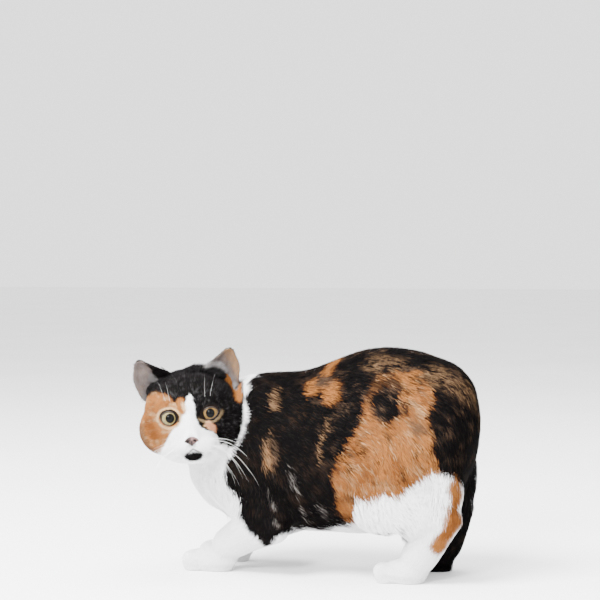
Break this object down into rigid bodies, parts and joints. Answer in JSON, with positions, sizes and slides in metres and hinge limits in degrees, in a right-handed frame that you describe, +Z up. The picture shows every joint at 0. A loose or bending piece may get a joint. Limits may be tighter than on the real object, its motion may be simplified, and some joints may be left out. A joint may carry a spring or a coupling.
{
  "type": "manx cat",
  "caption": "Life-size calico Manx cat without a tail, standing low in front on four paws with its head turned towards its left side",
  "frame": {"origin": "on the floor, under the middle of the cat's bounding box", "axes": "+Z up; the body points towards -X with its rump at +X; the cat's left side, which its head is turned to, faces -Y"},
  "size_m": [0.3783, 0.1807, 0.2478],
  "materials": {
    "coat_white": "short dense white fur, soft and matt",
    "coat_black": "short dense black fur with a faint sheen",
    "coat_orange": "short dense orange fur, faintly barred",
    "ear_skin": "thin grey-pink skin with fine hair at its edges",
    "eye_amber": "wet clear eye over an amber iris and dark pupil",
    "nose_skin": "moist nose leather, pink with dark patches",
    "whisker": "stiff pale whiskers"
  },
  "bodies": {
    "root": {"head": "coat_white", "ear_left": "ear_skin", "ear_right": "ear_skin", "eye_left": "eye_amber", "eye_right": "eye_amber", "nose": "nose_skin", "neck": "coat_white", "chest": "coat_black", "belly": "coat_black", "rump": "coat_black", "upper_arm_left": "coat_black", "forearm_left": "coat_white", "fore_paw_left": "coat_white", "upper_arm_right": "coat_black", "forearm_right": "coat_white", "fore_paw_right": "coat_white", "thigh_left": "coat_orange", "hind_foot_left": "coat_white", "hind_paw_left": "coat_white", "thigh_right": "coat_black", "hind_foot_right": "coat_black", "hind_paw_right": "coat_white"}
  },
  "joints": []
}
